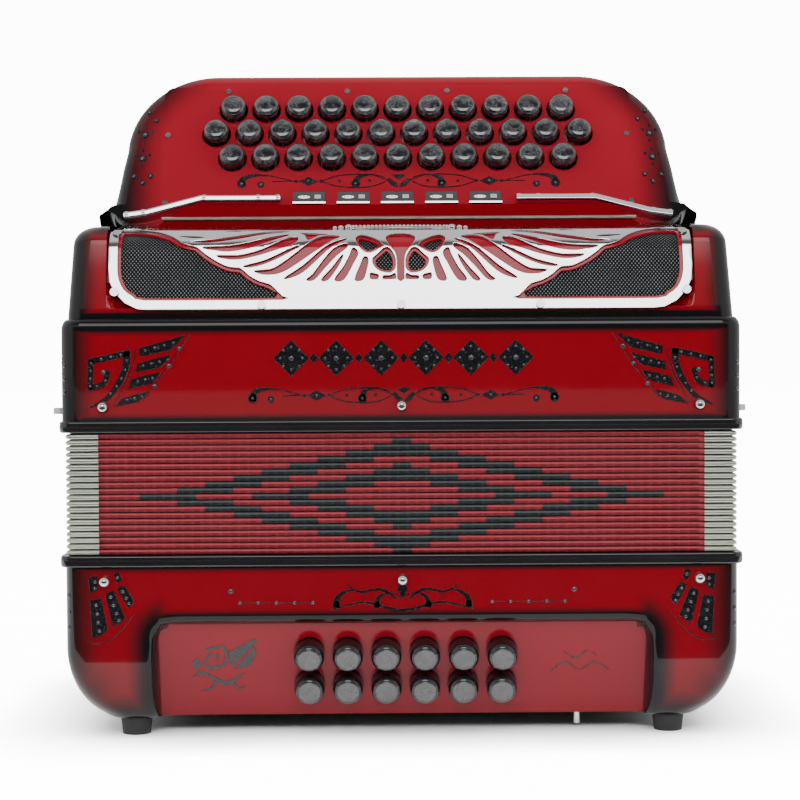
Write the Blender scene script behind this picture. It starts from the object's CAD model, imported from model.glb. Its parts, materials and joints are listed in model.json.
import json
import math

import bmesh
import bpy
from mathutils import Matrix, Vector
from mathutils.geometry import tessellate_polygon


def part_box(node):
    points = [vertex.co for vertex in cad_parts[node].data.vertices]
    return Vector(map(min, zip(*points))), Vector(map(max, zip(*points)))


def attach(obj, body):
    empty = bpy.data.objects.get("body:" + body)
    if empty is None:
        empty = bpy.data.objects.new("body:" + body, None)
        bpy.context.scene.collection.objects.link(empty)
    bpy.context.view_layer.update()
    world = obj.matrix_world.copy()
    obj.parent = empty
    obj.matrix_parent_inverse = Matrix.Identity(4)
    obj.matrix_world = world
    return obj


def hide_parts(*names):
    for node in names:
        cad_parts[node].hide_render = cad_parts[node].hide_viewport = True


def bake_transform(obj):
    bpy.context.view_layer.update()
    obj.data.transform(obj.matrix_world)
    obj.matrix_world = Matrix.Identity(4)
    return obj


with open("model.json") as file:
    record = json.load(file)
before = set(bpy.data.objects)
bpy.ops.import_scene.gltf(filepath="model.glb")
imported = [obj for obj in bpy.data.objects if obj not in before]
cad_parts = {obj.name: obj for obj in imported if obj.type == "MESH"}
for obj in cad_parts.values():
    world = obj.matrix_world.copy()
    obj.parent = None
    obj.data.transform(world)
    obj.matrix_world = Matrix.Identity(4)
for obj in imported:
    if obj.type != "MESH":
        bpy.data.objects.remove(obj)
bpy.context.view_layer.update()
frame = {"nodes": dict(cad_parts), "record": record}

MM = 0.001
scene = bpy.context.scene


# ---------------------------------------------------------------- camera and lamps
def aim(obj, target, roll=0.0):
    """Points an object's -Z at target, with its Y up and a small roll."""
    turn = (Vector(target) - obj.location).to_track_quat("-Z", "Y")
    obj.rotation_euler = (turn.to_matrix() @ Matrix.Rotation(roll, 3, "Z")).to_euler()


YAW, PITCH_DOWN, ROLL = (math.radians(a) for a in (0.648, 1.856, -0.30))
camera = bpy.data.objects.new("camera", bpy.data.cameras.new("camera"))
scene.collection.objects.link(camera)
scene.camera = camera
camera.data.lens = 91.9
camera.data.sensor_width = 36
camera.location = (-0.0115, -1.0438, 0.1897)
aim(camera, camera.location + Vector((math.tan(YAW), 1, -math.tan(PITCH_DOWN))), ROLL)


def area_light(name, where, target, size, power):
    data = bpy.data.lights.new(name, "AREA")
    data.shape = "RECTANGLE"
    data.size, data.size_y = size
    data.energy = power
    lamp = bpy.data.objects.new(name, data)
    scene.collection.objects.link(lamp)
    lamp.location = where
    lamp.visible_glossy = False
    aim(lamp, target)


area_light("overhead", (0, -0.1, 1.7), (0, 0, 0), (2.2, 1.6), 26)
area_light("left_box", (-1.5, -0.5, 0.9), (0, 0, 0.15), (1.0, 1.2), 16)
area_light("right_box", (1.5, -0.5, 0.9), (0, 0, 0.15), (1.0, 1.2), 16)
area_light("front_box", (0, -1.5, 1.1), (0, 0, 0.15), (1.6, 0.5), 20)


# ---------------------------------------------------------------- shader building
class Value:
    """A node's output that can be used like a number in a formula."""

    def __init__(self, graph, node, output=0):
        self.graph, self.socket = graph, node.outputs[output]

    def __add__(self, other):
        return self.graph.math("ADD", self, other)

    def __sub__(self, other):
        return self.graph.math("SUBTRACT", self, other)

    def __rsub__(self, other):
        return self.graph.math("SUBTRACT", other, self)

    def __mul__(self, other):
        return self.graph.math("MULTIPLY", self, other)

    def __truediv__(self, other):
        return self.graph.math("DIVIDE", self, other)

    def __abs__(self):
        return self.graph.math("ABSOLUTE", self)


class Graph:
    """Adds nodes to a node tree and joins them."""

    def __init__(self, tree):
        self.tree = tree

    def set(self, socket, value):
        if isinstance(value, Value):
            self.tree.links.new(value.socket, socket)
        else:
            socket.default_value = value

    def node(self, kind, sockets=(), **settings):
        """A node with its settings and with its sockets, by number or name."""
        made = self.tree.nodes.new("ShaderNode" + kind)
        for key, value in settings.items():
            setattr(made, key, value)
        for key, value in dict(sockets).items():
            self.set(made.inputs[key], value)
        return made

    def where(self, kind="Object"):
        """The surface point in the piece's own metres, its UV, or the world's direction."""
        return Value(self, self.node("TexCoord"), kind)

    def split(self, vector=None):
        made = self.node("SeparateXYZ", {0: vector or self.where()})
        return [Value(self, made, k) for k in range(3)]

    def math(self, op, *terms):
        return Value(self, self.node("Math", enumerate(terms), operation=op))

    def most(self, first, *others):
        for other in others:
            first = self.math("MAXIMUM", first, other)
        return first

    def span(self, value, low, high, start, end, kind="LINEAR"):
        """Start where value is at low, end where it is at high."""
        return Value(self, self.node("MapRange", enumerate((value, low, high, start, end)), interpolation_type=kind))

    def fade(self, value, start, end):
        """0 where value is at start, 1 at end, smooth between."""
        if start < end:
            return self.span(value, start, end, 0, 1, "SMOOTHSTEP")
        return self.span(value, end, start, 1, 0, "SMOOTHSTEP")

    def noise(self, scale, detail, stretch=None, distortion=0.0, rough=0.5):
        where = self.where()
        if stretch:
            where = Value(self, self.node("Mapping", {0: where, "Scale": stretch}))
        return Value(self, self.node("TexNoise", {"Scale": scale, "Detail": detail, "Distortion": distortion,
                                                  "Roughness": rough, "Vector": where}))

    def cells(self, scale, feature="F1"):
        made = self.node("TexVoronoi", {"Scale": scale, "Vector": self.where()}, feature=feature)
        return Value(self, made, "Distance")

    def ramp(self, value, *stops):
        """A colour ramp from (place, colour); a plain number as colour is a grey."""
        made = self.node("ValToRGB", {0: value})
        elements = made.color_ramp.elements
        stops = [(place, tone if isinstance(tone, tuple) else (tone, tone, tone, 1)) for place, tone in stops]
        elements[0].position, elements[0].color = stops[0]
        elements[-1].position, elements[-1].color = stops[-1]
        for place, colour in stops[1:-1]:
            elements.new(place).color = colour
        return Value(self, made)

    def mix(self, factor, a, b):
        return Value(self, self.node("Mix", {0: factor, 6: a, 7: b}, data_type="RGBA"), 2)


class Shader(Graph):
    """A material with one principled shader."""

    def __init__(self, name, **sockets):
        self.material = bpy.data.materials.new(name)
        self.material.use_nodes = True
        super().__init__(self.material.node_tree)
        self.put(**sockets)

    def put(self, **sockets):
        for key, value in sockets.items():
            self.set(self.tree.nodes["Principled BSDF"].inputs[key.replace("_", " ")], value)

    def bump(self, height, distance, strength):
        self.put(Normal=Value(self, self.node("Bump", {"Strength": strength, "Distance": distance, "Height": height})))


def world_light():
    """A studio room: white behind and at the sides, dark in front and overhead, a bright strip in between."""
    scene.world = bpy.data.worlds.new("studio")
    scene.world.use_nodes = True
    g = Graph(scene.world.node_tree)
    g.tree.nodes.clear()
    x, y, z = g.split(g.where("Generated"))
    half_turns = g.math("ARCTAN2", z, y * -1) / math.pi
    room = g.ramp(half_turns, (0.0, 0.04), (0.135, 0.04), (0.155, 5.0), (0.245, 5.0), (0.275, 0.12), (0.35, 0.12),
                  (0.42, 0.8))
    room = g.math("MINIMUM", room, g.span(abs(x), 0.18, 0.30, 5.0, 0.8))
    room = g.mix(g.span(abs(x), 0.55, 0.75, 0, 1), room, (1, 1, 1, 1))
    backdrop = g.mix(Value(g, g.node("LightPath"), "Is Camera Ray"), room, (14, 14, 14, 1))
    g.node("OutputWorld", {0: Value(g, g.node("Background", {0: backdrop, 1: 0.95}))})


world_light()


# ---------------------------------------------------------------- materials
RED = (0.130, 0.0014, 0.0050, 1)
RED_LIGHT = (0.150, 0.0018, 0.0058, 1)
RED_PLATE = (0.175, 0.0040, 0.0105, 1)
RED_PLATE_2 = (0.200, 0.0050, 0.0125, 1)
BLACK = (0.0035, 0.0035, 0.004, 1)


def lacquer(name, black=None, red=RED, red2=RED_LIGHT):
    """High-gloss red lacquer; black(shader) returns where the black sunburst is."""
    s = Shader(name, Coat_Weight=0.62, Coat_Roughness=0.025, Coat_IOR=1.42, Specular_IOR_Level=0.12)
    colour = s.mix(s.noise(9, 3), red, red2)
    if black:
        colour = s.mix(black(s), colour, BLACK)
    s.put(Base_Color=colour, Roughness=s.ramp(s.noise(40, 4), (0.35, 0.14), (0.75, 0.22)))
    s.bump(s.noise(260, 2), 0.00002, 0.35)
    return s.material


def black_lacquer():
    s = Shader("black_lacquer", Coat_Weight=1.0, Coat_Roughness=0.03, Specular_IOR_Level=0.3)
    s.put(Base_Color=s.mix(s.noise(30, 3), (0.004, 0.004, 0.0045, 1), (0.010, 0.009, 0.010, 1)),
          Roughness=s.ramp(s.noise(70, 4), (0.3, 0.14), (0.8, 0.26)))
    s.bump(s.noise(240, 2), 0.00002, 0.4)
    return s.material


def chrome(name="chrome_plate", base=(0.83, 0.83, 0.85, 1), rough=(0.035, 0.11), grain=1.0):
    s = Shader(name, Metallic=1.0)
    s.put(Base_Color=s.mix(s.noise(55, 3), base, tuple(c * 0.93 for c in base[:3]) + (1,)),
          Roughness=s.ramp(s.noise(90, 5, (1, 1, 6)), (0.3, rough[0]), (0.8, rough[1])))
    s.bump(s.noise(320, 3, (grain, 1, 4)), 0.00001, 0.5)
    return s.material


def cloth(name, a, b, ridge, sheen):
    """Woven bellows cloth from its own UV in metres: cells with light upper ridges and thin light borders."""
    s = Shader(name, Roughness=0.62, Sheen_Weight=sheen, Sheen_Roughness=0.4, Specular_IOR_Level=0.35)
    u, v, _ = s.split(s.where("UV"))
    weave = s.math("SINE", u * (2 * math.pi / 0.0011)) * s.math("SINE", v * (2 * math.pi / 0.0009))
    colour = s.ramp(weave * 0.16 + s.noise(300, 3), (0.3, a), (0.75, b))
    crest = s.math("FRACT", v / (PITCH * MM)) + (s.noise(160, 2) - 0.5) * 0.02
    upper = s.fade(crest, 0.60, 0.66) * s.fade(crest, 0.97, 0.90)
    cell = s.math("FRACT", (u - (BEL_X - 3) * MM) / (CELL * MM))
    light = s.most(upper * 0.85, s.fade(abs(cell - 0.5), 0.44, 0.485) * 0.55)
    s.put(Base_Color=s.mix(light, colour, ridge))
    s.bump(weave * 0.35 + light, 0.00016, 0.8)
    return s.material


def pearl(name="black_pearl", light=0.10, dark=0.003):
    """Black pearl plastic: dark flakes with grey and white streaks."""
    s = Shader(name, Coat_Weight=1.0, Coat_Roughness=0.03, Coat_IOR=1.8, Specular_IOR_Level=0.2)
    flow = s.noise(95, 3, (1.0, 0.6, 1.3), 1.6)
    streak = s.noise(170, 5, distortion=2.4, rough=0.6)
    s.put(Base_Color=s.ramp(flow * 0.65 + streak * 0.4, (0.40, (dark, dark * 1.02, dark * 1.1, 1)),
                            (0.52, (dark + 0.009, dark + 0.010, dark + 0.012, 1)), (0.585, light * 0.5),
                            (0.62, (dark + 0.01, dark + 0.012, dark + 0.015, 1)), (0.75, light)),
          Roughness=s.ramp(streak, (0.3, 0.08), (0.8, 0.2)))
    return s.material


def plain(name, a, b, rough, scale, stretch=None, coat=0.0):
    """A two-tone mottled material with matching roughness change and bump."""
    s = Shader(name, Coat_Weight=coat, Coat_Roughness=0.08)
    grain = s.noise(scale, 5, stretch)
    s.put(Base_Color=s.ramp(grain, (0.3, a + (1,)), (0.72, b + (1,))),
          Roughness=s.ramp(grain, (0.3, rough[0]), (0.75, rough[1])))
    s.bump(grain, 0.00004, 0.6)
    return s.material


def leather(name, a, b):
    """Grained leather: cells of grain over a soft mottle."""
    s = Shader(name, Sheen_Weight=0.15, Specular_IOR_Level=0.4)
    s.put(Base_Color=s.mix(s.noise(60, 4), a, b), Roughness=s.ramp(s.noise(150, 3), (0.3, 0.42), (0.8, 0.6)))
    s.bump(s.math("MINIMUM", s.cells(900, "DISTANCE_TO_EDGE"), 0.25), 0.0004, 0.5)
    return s.material


def screen_material():
    """Perforated black sheet: staggered round holes with a lighter web between them."""
    s = Shader("grille_screen", Metallic=0.3, Specular_IOR_Level=0.3)
    u, v, _ = s.split(s.where("UV"))
    holes = s.math("COSINE", u * (2 * math.pi / 0.0017)) * s.math("COSINE", v * (2 * math.pi / 0.0021))
    web = s.fade(holes, 0.05, 0.55)
    s.put(Base_Color=s.mix(web * (s.noise(90, 3) + 0.4), (0.002, 0.003, 0.003, 1), (0.085, 0.09, 0.095, 1)),
          Roughness=s.ramp(web, (0.0, 0.7), (1.0, 0.3)))
    s.bump(web, 0.0003, 0.8)
    return s.material


def ornament_material():
    s = Shader("ornament_black", Coat_Weight=0.6, Coat_Roughness=0.06)
    flake = s.cells(620)
    s.put(Base_Color=s.ramp(flake, (0.0, (0.05, 0.052, 0.06, 1)), (0.25, (0.004, 0.004, 0.005, 1)),
                            (1.0, (0.002, 0.002, 0.003, 1))),
          Roughness=s.ramp(s.noise(300, 3), (0.3, 0.15), (0.8, 0.4)))
    s.bump(flake, 0.00012, 0.7)
    return s.material


def crystal_material():
    s = Shader("crystal", Metallic=0.55, Coat_Weight=1.0, Coat_Roughness=0.02)
    facet = s.cells(900)
    s.put(Base_Color=s.mix(facet, (0.012, 0.013, 0.016, 1), (0.10, 0.105, 0.12, 1)),
          Roughness=s.ramp(s.noise(500, 2), (0.3, 0.05), (0.8, 0.2)))
    s.bump(facet, 0.0002, 0.6)
    return s.material


BLACK_LACQUER = black_lacquer()
CHROME = chrome()
CORNER_METAL = chrome("corner_metal", (0.68, 0.71, 0.62, 1), (0.34, 0.50), 8)
PEARL = pearl()
PEARL_GREY = pearl("grey_pearl", 0.09, 0.028)
SWITCH = plain("switch_plastic", (0.004, 0.004, 0.005), (0.009, 0.009, 0.010), (0.10, 0.2), 90, coat=0.5)
IVORY = plain("inlay_ivory", (0.62, 0.60, 0.55), (0.72, 0.70, 0.66), (0.2, 0.35), 200, coat=0.6)
LINER_RED = lacquer("lacquer_liner", None, RED_PLATE, RED_PLATE_2)
SCREEN = screen_material()
ORNAMENT = ornament_material()
CRYSTAL = crystal_material()


# ---------------------------------------------------------------- mesh building
def stand(name, me, materials, body, replaces=(), angle=38):
    """Puts a mesh in the scene as a piece, riding on a CAD body."""
    for material in materials:
        me.materials.append(material)
    me.shade_smooth()
    me.set_sharp_from_angle(angle=math.radians(angle))
    obj = bpy.data.objects.new(name, me)
    scene.collection.objects.link(obj)
    if body:
        flat = obj.modifiers.new("flat_faces", "WEIGHTED_NORMAL")
        flat.keep_sharp = True
        flat.weight = 100
        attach(obj, body)
    if replaces:
        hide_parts(*replaces)
    return obj


def piece(name, verts, faces, materials, body, slot, replaces=(), angle=38, mats=()):
    """A piece from points in millimetres; mats gives each face's material."""
    me = bpy.data.meshes.new(name)
    me.from_pydata([[c * MM for c in v] for v in verts], [], faces)
    bm = bmesh.new()
    bm.from_mesh(me)
    for face, mat in zip(bm.faces, mats):
        face.material_index = mat
    bmesh.ops.recalc_face_normals(bm, faces=bm.faces)
    bm.to_mesh(me)
    bm.free()
    return stand(name, me, materials, body, replaces, angle)


class Build:
    """Collects several closed shapes into one list of points and faces."""

    def __init__(self):
        self.verts, self.faces, self.mats = [], [], []

    def add(self, verts, faces, mat=0, place=None):
        base = len(self.verts)
        self.verts += [tuple(place(*v)) if place else tuple(v) for v in verts]
        self.faces += [tuple(base + i for i in f) for f in faces]
        self.mats += [mat] * len(faces)

    def piece(self, name, materials, body, slot, replaces=(), angle=38):
        return piece(name, self.verts, self.faces, materials, body, slot, replaces, angle, self.mats)


def loft(loops, caps=True):
    """Quads between successive loops of equal length, with flat ends."""
    n = len(loops[0])
    verts = [p for loop in loops for p in loop]
    faces = [(a + i, a + (i + 1) % n, a + n + (i + 1) % n, a + n + i)
             for a in range(0, len(verts) - n, n) for i in range(n)]
    if caps:
        faces += [tuple(range(n))[::-1], tuple(range(len(verts) - n, len(verts)))]
    return verts, faces


def lathe(profile, n=32):
    """A turned shape about local Z from (radius, height) points; ends at radius 0 close to a point."""
    verts, faces, rings = [], [], []
    for r, h in profile:
        if r < 1e-6:
            rings.append([len(verts)])
            verts.append((0, 0, h))
        else:
            rings.append(range(len(verts), len(verts) + n))
            verts += [(r * math.cos(2 * math.pi * i / n), r * math.sin(2 * math.pi * i / n), h) for i in range(n)]
    for a, b in zip(rings, rings[1:]):
        for i in range(n):
            j = (i + 1) % n
            quad = [a[i % len(a)], a[j % len(a)], b[j % len(b)], b[i % len(b)]]
            quad = [q for k, q in enumerate(quad) if q not in quad[:k]]
            if len(quad) > 2:
                faces.append(tuple(quad))
    faces += [tuple(ring) for ring in (rings[0][::-1], rings[-1]) if len(ring) > 1]
    return verts, faces


def offset(points, d):
    """Moves a closed outline inwards by d (anticlockwise outlines)."""
    out = []
    n = len(points)
    for i in range(n):
        p0, p1, p2 = (Vector(points[(i + k) % n][:2]) for k in (-1, 0, 1))
        a, b = (p1 - p0).normalized(), (p2 - p1).normalized()
        na, nb = Vector((-a.y, a.x)), Vector((-b.y, b.x))
        m = na + nb
        out.append(tuple(p1 + m / max(m.length_squared, 0.4) * 2 * d))
    return out


def ccw(points):
    """The outline, anticlockwise."""
    turn = sum(a[0] * b[1] - b[0] * a[1] for a, b in zip(points, points[1:] + points[:1]))
    return points if turn > 0 else points[::-1]


def fill(lines):
    """Triangles over the face between a closed outline and its holes, as places in their joined list."""
    return tessellate_polygon([[Vector((p[0], p[1], 0)) for p in line] for line in lines])


def plate(outer, holes=(), low=0.0, high=1.0, bevel=0.0, steps=2):
    """A flat plate (x, v, h) with holes, its upper edges rounded by bevel. All outlines are closed point lists."""
    verts, faces, tops, lows = [], [], [], []

    def ring(points, h):
        verts.extend((p[0], p[1], h) for p in points)
        return range(len(verts) - len(points), len(verts))

    for k, line in enumerate(ccw(p) for p in (outer, *holes)):
        sign = -1 if k else 1
        rings = [ring(line, low)]
        lows.append((line, rings[0]))
        final = line
        if bevel:
            for s in range(steps + 1):
                t = s / steps * math.pi / 2
                final = offset(line, sign * bevel * (1 - math.cos(t)))
                rings.append(ring(final, high - bevel + bevel * math.sin(t)))
        else:
            rings.append(ring(line, high))
        for a, b in zip(rings, rings[1:]):
            faces += [(a[i], a[(i + 1) % len(a)], b[(i + 1) % len(a)], b[i])[::sign] for i in range(len(a))]
        tops.append((final, rings[-1]))
    for group, sign in ((tops, 1), (lows, -1)):
        index = [i for _, ids in group for i in ids]
        faces += [tuple(index[i] for i in tri)[::sign] for tri in fill(line for line, _ in group)]
    return verts, faces


def arc(cx, cy, r, a0, a1, n):
    return [(cx + r * math.cos(math.radians(a0 + (a1 - a0) * i / n)),
             cy + r * math.sin(math.radians(a0 + (a1 - a0) * i / n))) for i in range(n + 1)]


def circle(cx, cy, r, n=24):
    return arc(cx, cy, r, 0, 360 * (n - 1) / n, n - 1)


def round_box(x0, y0, x1, y1, r, n=6):
    return (arc(x1 - r, y0 + r, r, -90, 0, n) + arc(x1 - r, y1 - r, r, 0, 90, n)
            + arc(x0 + r, y1 - r, r, 90, 180, n) + arc(x0 + r, y0 + r, r, 180, 270, n))


def mirrored(points):
    return [(-x, y) for x, y in points][::-1]


def spline(points, n=8, closed=False):
    """A smooth curve through the points."""
    pts = [Vector(p) for p in points]
    out = []
    count = len(pts)
    for i in range(count if closed else count - 1):
        if closed:
            p0, p1, p2, p3 = (pts[(i + k) % count] for k in (-1, 0, 1, 2))
        else:
            p0, p1, p2, p3 = pts[max(i - 1, 0)], pts[i], pts[i + 1], pts[min(i + 2, count - 1)]
        for s in range(n):
            t = s / n
            out.append(0.5 * ((2 * p1) + (p2 - p0) * t + (2 * p0 - 5 * p1 + 4 * p2 - p3) * t * t
                              + (3 * p1 - p0 - 3 * p2 + p3) * t ** 3))
    if not closed:
        out.append(pts[-1])
    return [tuple(p) for p in out]


def stroke(points, widths):
    """An outline round a smooth line whose width runs through the given values."""
    line = [Vector(p) for p in spline(points)]
    n = len(line)
    left, right = [], []
    for i, p in enumerate(line):
        d = (line[min(i + 1, n - 1)] - line[max(i - 1, 0)]).normalized()
        t = i / (n - 1) * (len(widths) - 1)
        k = min(int(t), len(widths) - 2)
        w = widths[k] + (widths[k + 1] - widths[k]) * (t - k)
        side = Vector((-d.y, d.x)) * w / 2
        left.append(tuple(p + side))
        right.append(tuple(p - side))
    return left + right[::-1]


# ---------------------------------------------------------------- places, from the frame
def mm_box(node):
    low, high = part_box(node)
    return low / MM, high / MM


BASS_LOW, BASS_HIGH = mm_box("bass_casing")
FOLDS_LOW, FOLDS_HIGH = mm_box("bellows_folds")
UPPER_HALF = mm_box("treble_casing")[1].x
BEL_X, BEL_Y = mm_box("bellows_corners")[1].xy
FRAME_X, FRAME_Y = mm_box("bass_bellows_frame")[1].xy
CASE_X, CASE_Y = BASS_HIGH.xy
FRAME_T = 5.4
Z_FOOT, Z_LOWER, Z_FOLDS = BASS_LOW.z, BASS_HIGH.z, FOLDS_LOW.z
Z_UPPER = mm_box("treble_bellows_frame")[0].z
Z_BAND = Z_UPPER + FRAME_T
Z_STEP = Z_BAND + 47.6
Z_TOP = Z_BAND + 91.6
LEAN = math.radians(28.3)
PLATE_LOW = mm_box("button_plate")[0]
BOARD_Y = PLATE_LOW.y - 2 * math.sin(LEAN)
BOARD_Z = PLATE_LOW.z - 2 * math.cos(LEAN) + 2.5 * math.sin(LEAN)
TILT = math.radians(18.2)
PANEL_Y0 = -95 + 8 + (54 - Z_FOOT) * math.tan(TILT)


def on_board(u, v, h=0.0):
    """A point of the fingerboard: across, up the board, out of its face."""
    return (u, BOARD_Y + v * math.sin(LEAN) - h * math.cos(LEAN), BOARD_Z + v * math.cos(LEAN) + h * math.sin(LEAN))


def on_panel(u, v, h=0.0):
    """A point of the bass panel: across, up the panel, out of its face."""
    return (u, PANEL_Y0 - v * math.sin(TILT) - h * math.cos(TILT), Z_FOOT + v * math.cos(TILT) - h * math.sin(TILT))


def rounded_loop(hx, y0, y1, r, z, front_xs, front_y=None):
    """A level rounded rectangle; front_xs are fixed X positions along its front."""
    cx, depth = hx - r, y1 - y0 - 2 * r
    pts = [(x, front_y(x, z) if front_y else y0) for x in front_xs] + arc(cx, y0 + r, r, -90, 0, 8)
    pts += [(hx, y0 + r + depth * i / 10) for i in range(1, 10)] + arc(cx, y1 - r, r, 0, 90, 8)
    pts += [(cx - 2 * cx * i / 24, y1) for i in range(1, 24)] + arc(-cx, y1 - r, r, 90, 180, 8)
    pts += [(-hx, y1 - r - depth * i / 10) for i in range(1, 10)] + arc(-cx, y0 + r, r, 180, 270, 8)
    return [(x, y, z) for x, y in pts]


# ---------------------------------------------------------------- bass casing
RECESS_X = 120.0
RECESS_TOP = 59.2
RECESS_R = 13
FILLET = 5.0
LOW_RX, LOW_RY, LOW_RZ = 24, 15, 35


def low_inset(z, r):
    """How far the casing's wall draws in near its rounded lower edge."""
    k = max(0.0, 1 - (z - Z_FOOT) / LOW_RZ)
    return r * (1 - math.sqrt(max(0.0, 1 - k * k)))


def recess_depth(x, z):
    """Distance inside the rounded recess outline, negative outside."""
    dx = abs(x) - (RECESS_X - RECESS_R)
    dz = z - (RECESS_TOP - RECESS_R)
    if dx > 0 and dz > 0:
        return RECESS_R - math.hypot(dx, dz)
    return RECESS_R - max(dx, dz)


def bass_front(x, z):
    """The front of the bass casing: its wall, and the sloped recess blended into it."""
    outer = -CASE_Y + low_inset(z, LOW_RY)
    t = min(max(recess_depth(x, z) / FILLET, 0.0), 1.0)
    t = 1 - math.sqrt(1 - t ** 2.2)
    panel_y = PANEL_Y0 - (z - Z_FOOT) * math.tan(TILT)
    return outer + (max(panel_y + 1.2, outer) - outer) * t


def sunburst_bass(s):
    """Black at the upright corners, along the lower edge and round the recess, in metres."""
    x, y, z = s.split()
    ax = abs(x)
    side = s.fade(ax, 0.1370, 0.1560) * s.fade(abs(y), 0.060, 0.082)
    low_corner = s.fade(ax, 0.128, 0.152) * s.fade(z, 0.048, 0.016)
    # the recess edge: a dark band that follows its rounded outline
    px = s.most(ax - (RECESS_X - RECESS_R) * MM, 0.0)
    pz = s.most(z - (RECESS_TOP - RECESS_R) * MM, 0.0)
    across = abs(s.math("SQRT", px * px + pz * pz) - (RECESS_R * MM - 0.0018))
    beside = s.fade(ax, 0.108, 0.116)
    rim = s.fade(across, 0.0130, 0.0015) * beside + s.fade(across, 0.0050, 0.0010) * (1.0 - beside)
    return s.most(side, s.fade(z, 0.026, 0.010), low_corner, rim * s.fade(y, -0.060, -0.072),
                  s.fade(z, 0.0105, 0.0085), s.fade(z, Z_LOWER * MM - 0.0035, Z_LOWER * MM - 0.0002))


def bass_casing():
    """The bass casing, lofted level by level so that its recess keeps a rounded edge."""
    dense = [RECESS_X + d for d in (-6.5, -5.6, -5, -4.9, -4.7, -4.4, -4, -3.4, -2.6, -1.8, -1, 0, 1)]
    half = [2.6 * i for i in range(1, 43)] + dense + [125, 129]
    xs = [-x for x in half[::-1]] + [0] + half
    low = [Z_FOOT + LOW_RZ * (1 - math.cos(math.radians(a))) for a in range(0, 91, 6)]
    mid = [45, 47, 49, 50.5, 52, 53, 53.6, 54.1, 54.3, 54.5, 54.8, 55.2, 55.8, 56.6, 57.4, 58.2, 59.2, 60.2, 63, 68,
           74, 79]
    loops = []
    for z in low + mid + [Z_LOWER]:
        hx = CASE_X - low_inset(z, LOW_RX)
        yi = low_inset(z, LOW_RY)
        r = min(9 if z > 40 else 9 + 6 * (1 - (z - Z_FOOT) / 32), hx - 129.5)
        loops.append(rounded_loop(hx, -CASE_Y + yi, CASE_Y - yi, r, z, xs, front_y=bass_front))
    piece("bass_casing_shell", *loft(loops), [lacquer("lacquer_bass", sunburst_bass)], "bass_section",
          "red_lacquer", ["bass_casing"], 50)


bass_casing()


# ---------------------------------------------------------------- bellows frames
def bullnose_frame(name, z0, body, node):
    """A bullnosed wooden ring round the bellows."""
    t, inner = FRAME_T, 21.0
    nose = [(0.9, 0.0), (0.35, 0.25), (0.08, 0.9), (0.0, t / 2), (0.08, t - 0.9), (0.35, t - 0.25), (0.9, t)]
    loops = []
    for inset, h in [(inner, 0.0)] + nose + [(inner, t)]:
        xs = [(14 * i - 140) * (0.9 if inset == inner else 1) for i in range(21)]
        loops.append(rounded_loop(FRAME_X - inset, inset - FRAME_Y, FRAME_Y - inset, max(5.5 - inset, 2.5), z0 + h, xs))
    piece(name, *loft(loops + loops[:1], False), [BLACK_LACQUER], body, "black_lacquer", [node], 50)


bullnose_frame("lower_frame_ring", Z_LOWER, "bass_section", "bass_bellows_frame")
bullnose_frame("upper_frame_ring", Z_UPPER, "treble_section", "treble_bellows_frame")


# ---------------------------------------------------------------- bellows
FOLDS = 20
PITCH = (FOLDS_HIGH.z - FOLDS_LOW.z) / FOLDS
CELL = 4.37
CORNER = 15.5
# one fold: (distance in from the ridge, height as a share of the pitch)
FOLD = [(18.0, 0.0), (2.4, 0.045), (1.0, 0.08), (0.45, 0.17), (0.12, 0.32), (0.0, 0.5), (0.12, 0.68), (0.45, 0.83),
        (1.0, 0.92), (2.4, 0.955)]


def black_cell(row, x):
    """Whether the black diamond pattern covers this cell, rows counted from the middle fold."""
    c = int(abs(x) / CELL)

    def band(first, tip):
        return first <= c < first + 6 if row == 0 else max(first - 1 - 3 * row, 0) <= c < first + 5 - 3 * row or (
            row == tip and c < 1)
    return band(22, 9) or band(10, 5)


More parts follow.
